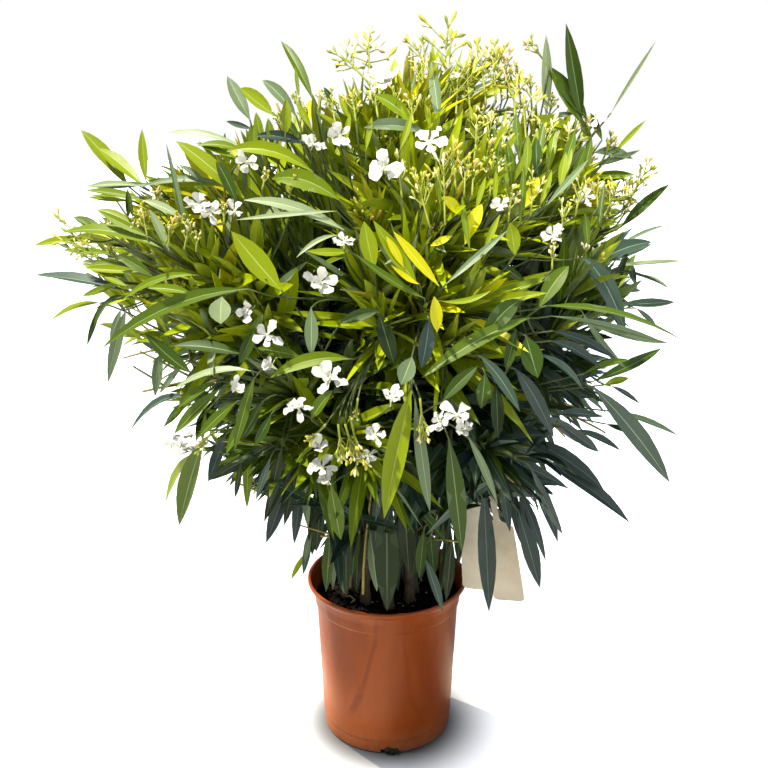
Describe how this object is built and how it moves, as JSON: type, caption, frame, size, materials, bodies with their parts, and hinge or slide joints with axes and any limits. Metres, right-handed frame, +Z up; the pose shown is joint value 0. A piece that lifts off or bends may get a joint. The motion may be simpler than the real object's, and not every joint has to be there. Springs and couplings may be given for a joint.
{
  "type": "potted white oleander",
  "caption": "Bushy flowering patio shrub with slender stems, narrow leaves in whorls and open star-shaped flowers, in a round tapered nursery pot with a flared rim.",
  "frame": {"origin": "centre of the flat underside of the pot, on the surface it stands on", "axes": "+Z up along the pot's axis; -Y towards the side shown in the picture; +X to that side's right, where the paper label hangs"},
  "size_m": [0.8963, 0.8744, 1.0656],
  "materials": {
    "pot_plastic": "satin",
    "compost": "matte",
    "label_paper": "matte",
    "stem_bark": "matte",
    "bough_bark": "matte",
    "leaves": "satin",
    "petals": "matte"
  },
  "bodies": {
    "root": {"bough_1_side": "bough_bark", "bough_1_upper": "bough_bark", "bough_2_side": "bough_bark", "bough_2_upper": "bough_bark", "bough_3_side": "bough_bark", "bough_3_upper": "bough_bark", "bough_4_side": "bough_bark", "bough_4_upper": "bough_bark", "bough_5_side": "bough_bark", "bough_5_upper": "bough_bark", "bough_6_side": "bough_bark", "bough_6_upper": "bough_bark", "bough_7_side": "bough_bark", "bough_7_upper": "bough_bark", "bough_8_side": "bough_bark", "bough_8_upper": "bough_bark", "compost": "compost", "foliage_low_1": "leaves", "foliage_low_2": "leaves", "foliage_low_3": "leaves", "foliage_low_4": "leaves", "foliage_low_5": "leaves", "foliage_low_6": "leaves", "foliage_shoulder_1": "leaves", "foliage_shoulder_2": "leaves", "foliage_shoulder_3": "leaves", "foliage_shoulder_4": "leaves", "foliage_shoulder_5": "leaves", "foliage_side_1": "leaves", "foliage_side_2": "leaves", "foliage_side_3": "leaves", "foliage_side_4": "leaves", "foliage_side_5": "leaves", "foliage_side_6": "leaves", "foliage_side_7": "leaves", "foliage_side_8": "leaves", "foliage_top_1": "leaves", "foliage_top_2": "leaves", "foliage_top_3": "leaves", "foliage_upper_1": "leaves", "foliage_upper_2": "leaves", "foliage_upper_3": "leaves", "foliage_upper_4": "leaves", "foliage_upper_5": "leaves", "foliage_upper_6": "leaves", "foliage_upper_7": "leaves", "foliage_upper_8": "leaves", "label": "label_paper", "pot": "pot_plastic", "stem_1": "stem_bark", "stem_2": "stem_bark", "stem_3": "stem_bark", "stem_4": "stem_bark", "stem_5": "stem_bark", "stem_6": "stem_bark", "stem_7": "stem_bark", "stem_8": "stem_bark"}
  },
  "joints": []
}
